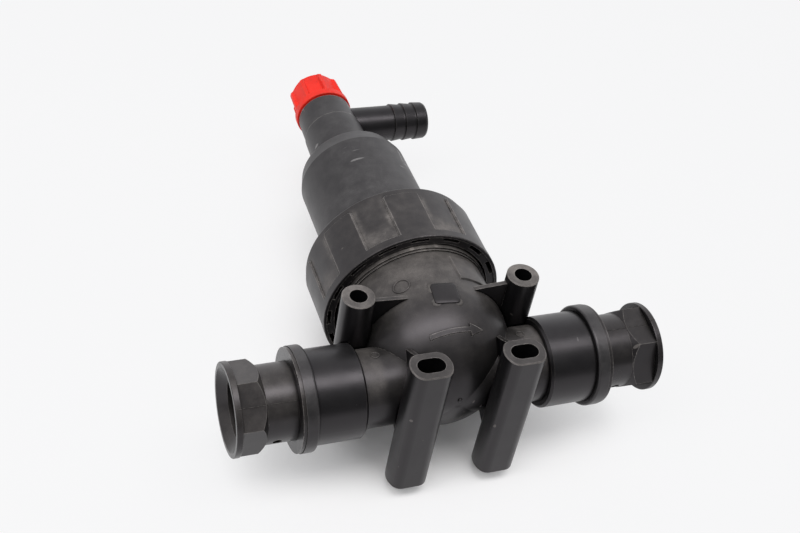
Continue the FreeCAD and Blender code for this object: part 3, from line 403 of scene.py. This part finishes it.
LOOKS = {
    "filter_head": HEAD, "inlet_sleeve": SLEEVE, "outlet_sleeve": SLEEVE,
    "inlet_adapter": DUST_AND_SHEEN_ADAPTER, "outlet_adapter": ADAPTER, "ring_nut": NUT,
    "bowl": BOWL, "hose_barb": BARB, "flush_jet": CAGE, "drain_cap": CAP,
    "cartridge_screen": SCREEN, "cartridge_cage": CAGE, "cartridge_top_collar": CAGE,
    "cartridge_bottom_collar": CAGE, "flow_deflector": CAGE,
    "inlet_seal": SEAL, "outlet_seal": SEAL, "bowl_seal": SEAL, "cartridge_top_seal": SEAL,
    "cartridge_bottom_seal": SEAL, "drain_cap_seal": SEAL,
}
for node, material in LOOKS.items():
    for place in NODES[node].material_slots:
        place.material = material


def piece(name, verts, faces, material, body, smooth=True):
    """A mesh of the scene's own, riding on one body of the frame."""
    mesh = bpy.data.meshes.new(name)
    mesh.from_pydata([tuple(v) for v in verts], [], faces)
    mesh.update()
    work = bmesh.new()
    work.from_mesh(mesh)
    bmesh.ops.remove_doubles(work, verts=work.verts, dist=1e-6)
    bmesh.ops.recalc_face_normals(work, faces=work.faces)
    work.to_mesh(mesh)
    work.free()
    for polygon in mesh.polygons:
        polygon.use_smooth = smooth
    mesh.materials.append(material)
    obj = bpy.data.objects.new(name, mesh)
    bpy.context.scene.collection.objects.link(obj)
    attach(obj, body)


def ring_faces(rings, count):
    """Faces between each closed ring of points and the next."""
    faces = []
    for ring in range(rings - 1):
        for k in range(count):
            a = ring * count + k
            b = ring * count + (k + 1) % count
            faces.append((a, b, b + count, a + count))
    return faces


def close_cap(verts, faces, count, centre_point):
    """Close the last ring with a fan about a point."""
    verts.append(centre_point)
    hub = len(verts) - 1
    top = hub - count
    for k in range(count):
        faces.append((top + k, top + (k + 1) % count, hub))


# Section of a thread ridge: foot and crest width as a share of the pitch and of the foot, and
# how far the foot sinks into the wall. At each end it fades out over a share of a turn.
RIDGE_FOOT = 0.62
RIDGE_CREST = 0.17
RIDGE_SINK = 0.15
RIDGE_FADE = 0.25
LEAST_RIDGE = 0.02


def helix(name, axis, start, end, pitch, root, crest, material, body, slot, per_turn=72):
    """A screw thread: a tapered ridge wound about an axis, thinning out at both ends."""
    width = pitch * RIDGE_FOOT
    axis = Vector(axis)
    side = axis.orthogonal().normalized()
    other = axis.cross(side)
    steps = int((end - start) / pitch * per_turn)
    run_out = per_turn * RIDGE_FADE
    sink = root - (crest - root) * RIDGE_SINK
    verts = []
    for step in range(steps + 1):
        angle = 2.0 * math.pi * step / per_turn
        along = start + pitch * step / per_turn
        fade = min(1.0, step / run_out, (steps - step) / run_out)
        top = root + (crest - root) * max(fade, LEAST_RIDGE)
        out = side * math.cos(angle) + other * math.sin(angle)
        section = ((-width / 2, sink), (-width * RIDGE_CREST, top), (width * RIDGE_CREST, top), (width / 2, sink))
        for offset, radius in section:
            verts.append(Vector(CROSSING) + axis * (along + offset) + out * radius)
    faces = ring_faces(steps + 1, 4)
    last = steps * 4
    faces.append((0, 1, 2, 3))
    faces.append((last + 3, last + 2, last + 1, last))
    piece(name, verts, faces, material, body, smooth=False)


# Threads: start and end from the crossing, then root and crest radius.
NUT_PITCH = 0.006
CAP_PITCH = 0.004
PIPE_PITCH = INCH / 11
ALONG_BOWL = (0, 1, 0)
PORT_THREAD = {"start": 0.1225, "end": 0.1375, "pitch": PIPE_PITCH, "root": 0.02095, "crest": 0.0195}

helix("head_thread", ALONG_BOWL, 0.0755, 0.0995, NUT_PITCH, 0.0522, 0.0542, HEAD, "head", "head_plastic",
      per_turn=120)
helix("nut_thread", ALONG_BOWL, 0.0725, 0.1005, NUT_PITCH, 0.0549, 0.0530, NUT, "nut", "nut_plastic",
      per_turn=120)
helix("drain_thread", ALONG_BOWL, 0.2845, 0.3045, CAP_PITCH, 0.0144, 0.0154, BOWL, "bowl_unit",
      "bowl_plastic")
for name, outward in (("inlet_thread", (-1, 0, 0)), ("outlet_thread", (1, 0, 0))):
    helix(name, outward, material=ADAPTER, body="head", slot="adapter_plastic", **PORT_THREAD)


def dome_point(x, y, lift):
    """Point above the top of the dome, from a plan position measured from the crossing."""
    back = min(y - DOME_CENTRE, 0.0)
    z = math.sqrt(max(DOME_RADIUS ** 2 - x * x - back * back, 1e-9))
    normal = Vector((x, back, z)).normalized()
    return Vector(from_crossing(x, y, z)) + normal * lift


def on_dome(rings):
    """Raised form on the dome: each ring is a list of (x, y) plan points with one height."""
    verts = [dome_point(x, y, lift) for points, lift in rings for x, y in points]
    return verts, ring_faces(len(rings), len(rings[0][0]))


# The square pad: plan place and turn, and rings of half width and lift.
PAD_PLACE = (0.0, 0.0250)
PAD_TURN = math.radians(-6)
PAD_CORNER = 0.3
CORNER_STEPS = 6
MARGIN_RINGS = ((0.0104, -0.0004), (0.0103, 0.00012), (0.0080, 0.00012))
PAD_LIFT = 0.0009
PAD_RINGS = ((0.0085, -0.0004), (0.0084, 0.0007), (0.0081, PAD_LIFT), (0.006, PAD_LIFT),
             (0.004, PAD_LIFT), (0.002, PAD_LIFT))


def pad_outline(half):
    """The square with rounded corners, turned about its middle."""
    cx, cy = PAD_PLACE
    radius = half * PAD_CORNER
    points = []
    for quarter, (sx, sy) in enumerate(((1, 1), (-1, 1), (-1, -1), (1, -1))):
        for step in range(CORNER_STEPS + 1):
            angle = math.radians(90 * quarter + 90 * step / CORNER_STEPS)
            px = sx * (half - radius) + radius * math.cos(angle)
            py = sy * (half - radius) + radius * math.sin(angle)
            points.append((cx + px * math.cos(PAD_TURN) - py * math.sin(PAD_TURN),
                           cy + px * math.sin(PAD_TURN) + py * math.cos(PAD_TURN)))
    return points


def bare_pad():
    """The square pad on the dome stays bare: a low margin and a raised plain face."""
    verts, faces = on_dome([(pad_outline(half), lift) for half, lift in MARGIN_RINGS])
    piece("pad_margin", verts, faces, MARGIN, "head")
    rings = [(pad_outline(half), lift) for half, lift in PAD_RINGS]
    verts, faces = on_dome(rings)
    close_cap(verts, faces, len(rings[0][0]), dome_point(*PAD_PLACE, PAD_LIFT))
    piece("bare_pad", verts, faces, PAD, "head")


def circle_points(cx, cy, radius, count):
    return [(cx + radius * math.cos(2 * math.pi * k / count), cy + radius * math.sin(2 * math.pi * k / count))
            for k in range(count)]


DIAL_PLACE = (-0.0235, 0.0410)
DIAL_RINGS = ((0.0054, -0.0003), (0.0052, 0.0005), (0.0046, 0.0005), (0.0044, -0.0003))


def dial_ring():
    """Plain ring left by a round insert in the mould."""
    verts, faces = on_dome([(circle_points(*DIAL_PLACE, radius, 40), lift) for radius, lift in DIAL_RINGS])
    piece("dial_ring", verts, faces, HEAD, "head")


# The raised field: plan limits, its slanted left edge, and its height.
FIELD_FRONT = 0.0372
FIELD_LONG = 0.0225
FIELD_LEFT = 0.0150
FIELD_SLANT = 0.0012
FIELD_RIGHT = 0.0345
FIELD_LIFT = 0.0010
FIELD_SINK = -0.0003


def step_pad():
    """Raised field on the right of the dome with straight edges towards the square pad."""
    columns = 14
    rows = 16
    verts = []
    faces = []
    for i in range(columns + 1):
        for j in range(rows + 1):
            u = i / columns
            v = j / rows
            y = FIELD_FRONT + v * FIELD_LONG
            left = FIELD_LEFT - FIELD_SLANT * v
            x = left + (FIELD_RIGHT - left) * u
            on_edge = i in (0, columns) or j in (0, rows)
            verts.append(dome_point(x, y, FIELD_SINK if on_edge else FIELD_LIFT))
    for i in range(columns):
        for j in range(rows):
            a = i * (rows + 1) + j
            faces.append((a, a + rows + 1, a + rows + 2, a + 1))
    piece("step_pad", verts, faces, HEAD, "head", smooth=False)


WITNESS_RINGS = ((0.0030, -0.0003), (0.0029, 0.00035), (0.0024, 0.00035), (0.0023, -0.0003))


def stub_ring(name, x, y):
    """Small round witness ring on top of a stub, at a plan place from the crossing."""
    count = 28
    verts = []
    for radius, lift in WITNESS_RINGS:
        for px, py in circle_points(x, y, radius, count):
            z = math.sqrt(STUB_RADIUS ** 2 - py * py)
            normal = Vector((0.0, py, z)).normalized()
            verts.append(Vector(from_crossing(px, py, z)) + normal * lift)
    faces = ring_faces(len(WITNESS_RINGS), count)
    piece(name, verts, faces, HEAD, "head")


GATE_RADIUS = 0.0014
GATE_HEIGHT = 0.0008
GATE_PROFILE = ((1.0, -0.3), (0.95, 0.5), (0.7, 0.9), (0.35, 1.0))


def gate(name, centre, normal):
    """Low round nub where a gate was cut off. The profile holds shares of its radius and height."""
    normal = Vector(normal).normalized()
    side = normal.orthogonal().normalized()
    other = normal.cross(side)
    count = 20
    verts = []
    for part, up in GATE_PROFILE:
        for k in range(count):
            a = 2 * math.pi * k / count
            out = side * math.cos(a) + other * math.sin(a)
            verts.append(Vector(centre) + out * GATE_RADIUS * part + normal * GATE_HEIGHT * up)
    faces = ring_faces(len(GATE_PROFILE), count)
    close_cap(verts, faces, count, Vector(centre) + normal * GATE_HEIGHT)
    piece(name, verts, faces, HEAD, "head")


bare_pad()
dial_ring()
step_pad()
stub_ring("right_witness", 0.0498, 0.0046)
stub_ring("left_witness", -0.0502, 0.0049)
gate("front_gate", from_crossing(0.0, -0.0254, 0.005), (0, -1, 0.2))
gate("side_gate", from_crossing(0.0171, -0.0246, -0.0053), (0, -1, -0.2))


# Flash runs along an adapter's neck, hexagon and rim: start, end and radius of each stretch.
NECK_AND_HEX = ((0.1052, 0.1243, 0.0250), (0.1256, 0.1408, 0.0255), (0.1412, 0.1448, 0.0300))
FLASH_SECTION = ((-0.0003, -0.0002), (0.0, 0.00022), (0.0003, -0.0002))


def parting_line(name, side, turn):
    """Fine flash line of the mould, along the port axis, turned about it from the top."""
    verts = []
    faces = []
    out = Vector((0.0, -math.sin(turn), math.cos(turn)))
    across = Vector((0.0, math.cos(turn), math.sin(turn)))
    for start, end, radius in NECK_AND_HEX:
        first = len(verts)
        for along in (start, end):
            for shift, height in FLASH_SECTION:
                middle = Vector((side * along, PORT_Y, PORT_Z))
                verts.append(middle + across * shift + out * (radius + height))
        faces += [(first, first + 1, first + 4, first + 3), (first + 1, first + 2, first + 5, first + 4),
                  (first, first + 3, first + 5, first + 2), (first, first + 2, first + 1),
                  (first + 3, first + 4, first + 5)]
    piece(name, verts, faces, ADAPTER, "head", smooth=False)


parting_line("inlet_flash", -1, math.radians(41))
parting_line("outlet_flash", 1, math.radians(8))


# The floor's glow makes it white to the camera. It fades where the object closes off the sky.
SHADE_REACH = 0.14
DEEP_SHADE = 0.17
SHADE_SLOPE = 1.8
GLOW_SHARE = 0.92


def floor():
    """Pale floor that keeps the shadow and is white by its own colour and by camera rays."""
    size = 6.0
    corners = [(-size, -size, FLOOR_Z), (size, -size, FLOOR_Z), (size, size, FLOOR_Z), (-size, size, FLOOR_Z)]
    mesh = bpy.data.meshes.new("floor")
    mesh.from_pydata(corners, [], [(0, 1, 2, 3)])
    m = Material("floor")
    m.set("Base Color", m.mix(m.ramp(m.noise(6.0), 0.3, 0.7), (0.900, 0.882, 0.874, 1), (0.910, 0.892, 0.884, 1)))
    m.set("Roughness", 0.55)
    path = m.add("ShaderNodeLightPath")
    seen = m.math("ADD", path.outputs["Is Camera Ray"], path.outputs["Is Glossy Ray"], clamp=True)
    seen = m.math("ADD", seen, path.outputs["Is Transmission Ray"], clamp=True)
    open_sky = m.add("ShaderNodeAmbientOcclusion", samples=8)
    open_sky.inputs["Distance"].default_value = SHADE_REACH
    openness = m.math("SUBTRACT", open_sky.outputs["AO"], DEEP_SHADE)
    openness = m.math("MULTIPLY", openness, SHADE_SLOPE, clamp=True)
    seen = m.math("MULTIPLY", seen, m.math("MULTIPLY", openness, GLOW_SHARE))
    glow = m.add("ShaderNodeEmission")
    glow.inputs["Color"].default_value = (0.92, 0.922, 0.93, 1.0)
    blend = m.add("ShaderNodeMixShader")
    m.join(seen, blend.inputs[0])
    m.join(m.shader.outputs[0], blend.inputs[1])
    m.join(glow.outputs[0], blend.inputs[2])
    m.join(blend.outputs[0], m.tree.nodes["Material Output"].inputs["Surface"])
    mesh.materials.append(m.material)
    obj = bpy.data.objects.new("floor", mesh)
    bpy.context.scene.collection.objects.link(obj)


LAMP_PLACE = Vector((-0.3, -0.2, 1.5))
LAMP_TARGET = Vector((0.0, 0.15, 0.05))
LAMP_POWER = 26.0
LAMP_SIZE = (2.6, 0.6)


def lamp():
    """Long soft box overhead, with its long side along X."""
    light = bpy.data.lights.new("overhead", "AREA")
    light.energy = LAMP_POWER
    light.shape = "RECTANGLE"
    light.size, light.size_y = LAMP_SIZE
    obj = bpy.data.objects.new("overhead", light)
    away = (LAMP_PLACE - LAMP_TARGET).normalized()
    along = (Vector((1.0, 0.0, 0.0)) - away * away.x).normalized()
    axes = Matrix((along, away.cross(along), away)).transposed().to_4x4()
    obj.matrix_world = Matrix.Translation(LAMP_PLACE) @ axes
    bpy.context.scene.collection.objects.link(obj)


# Parts of the sky: direction, where it begins and is full as a cosine, and both strengths.
SKY_COLOUR = (0.97, 0.975, 1.0, 1.0)
SKY = (((0.0, 0.97, 0.24), -0.8, 0.5, 0.14, 0.62),
       ((0.5, 0.86, -0.1), 0.55, 1.0, 0.0, 0.45))


def sky():
    """Dim room behind the camera, and a white sweep at the back and to the right."""
    world = bpy.data.worlds.new("studio")
    bpy.context.scene.world = world
    world.use_nodes = True
    n = Nodes(world.node_tree)
    background = n.tree.nodes["Background"]
    background.inputs["Color"].default_value = SKY_COLOUR
    looking = n.add("ShaderNodeTexCoord").outputs["Generated"]
    sweep, glow = (n.ramp(n.dot(looking, towards), *limits) for towards, *limits in SKY)
    n.join(n.math("ADD", sweep, glow), background.inputs["Strength"])


# The camera as fitted to the photograph, which is 800 pixels wide.
AZIMUTH = math.radians(-26.38)
ELEVATION = math.radians(42.14)
ROLL = math.radians(11.36)
DISTANCE = 0.8888
TARGET = Vector((0.0041, 0.1043 + PORT_Y, PORT_Z))
FOCAL_PIXELS = 1260.2
PHOTO_WIDTH = 800.0
SENSOR = 36.0


def camera():
    """Camera looking at the target, rolled about its own axis."""
    back = Vector((math.sin(AZIMUTH) * math.cos(ELEVATION), -math.cos(AZIMUTH) * math.cos(ELEVATION),
                   math.sin(ELEVATION)))
    right = (-back).cross(Vector((0, 0, 1))).normalized()
    up = right.cross(-back)
    rolled_right = right * math.cos(ROLL) + up * math.sin(ROLL)
    rolled_up = up * math.cos(ROLL) - right * math.sin(ROLL)
    data = bpy.data.cameras.new("camera")
    data.sensor_fit = "HORIZONTAL"
    data.sensor_width = SENSOR
    data.lens = FOCAL_PIXELS * SENSOR / PHOTO_WIDTH
    data.clip_start = 0.01
    obj = bpy.data.objects.new("camera", data)
    axes = Matrix((rolled_right, rolled_up, back)).transposed().to_4x4()
    obj.matrix_world = Matrix.Translation(TARGET + back * DISTANCE) @ axes
    bpy.context.scene.collection.objects.link(obj)
    bpy.context.scene.camera = obj


floor()
lamp()
sky()
camera()
bpy.context.scene.view_settings.view_transform = "Standard"
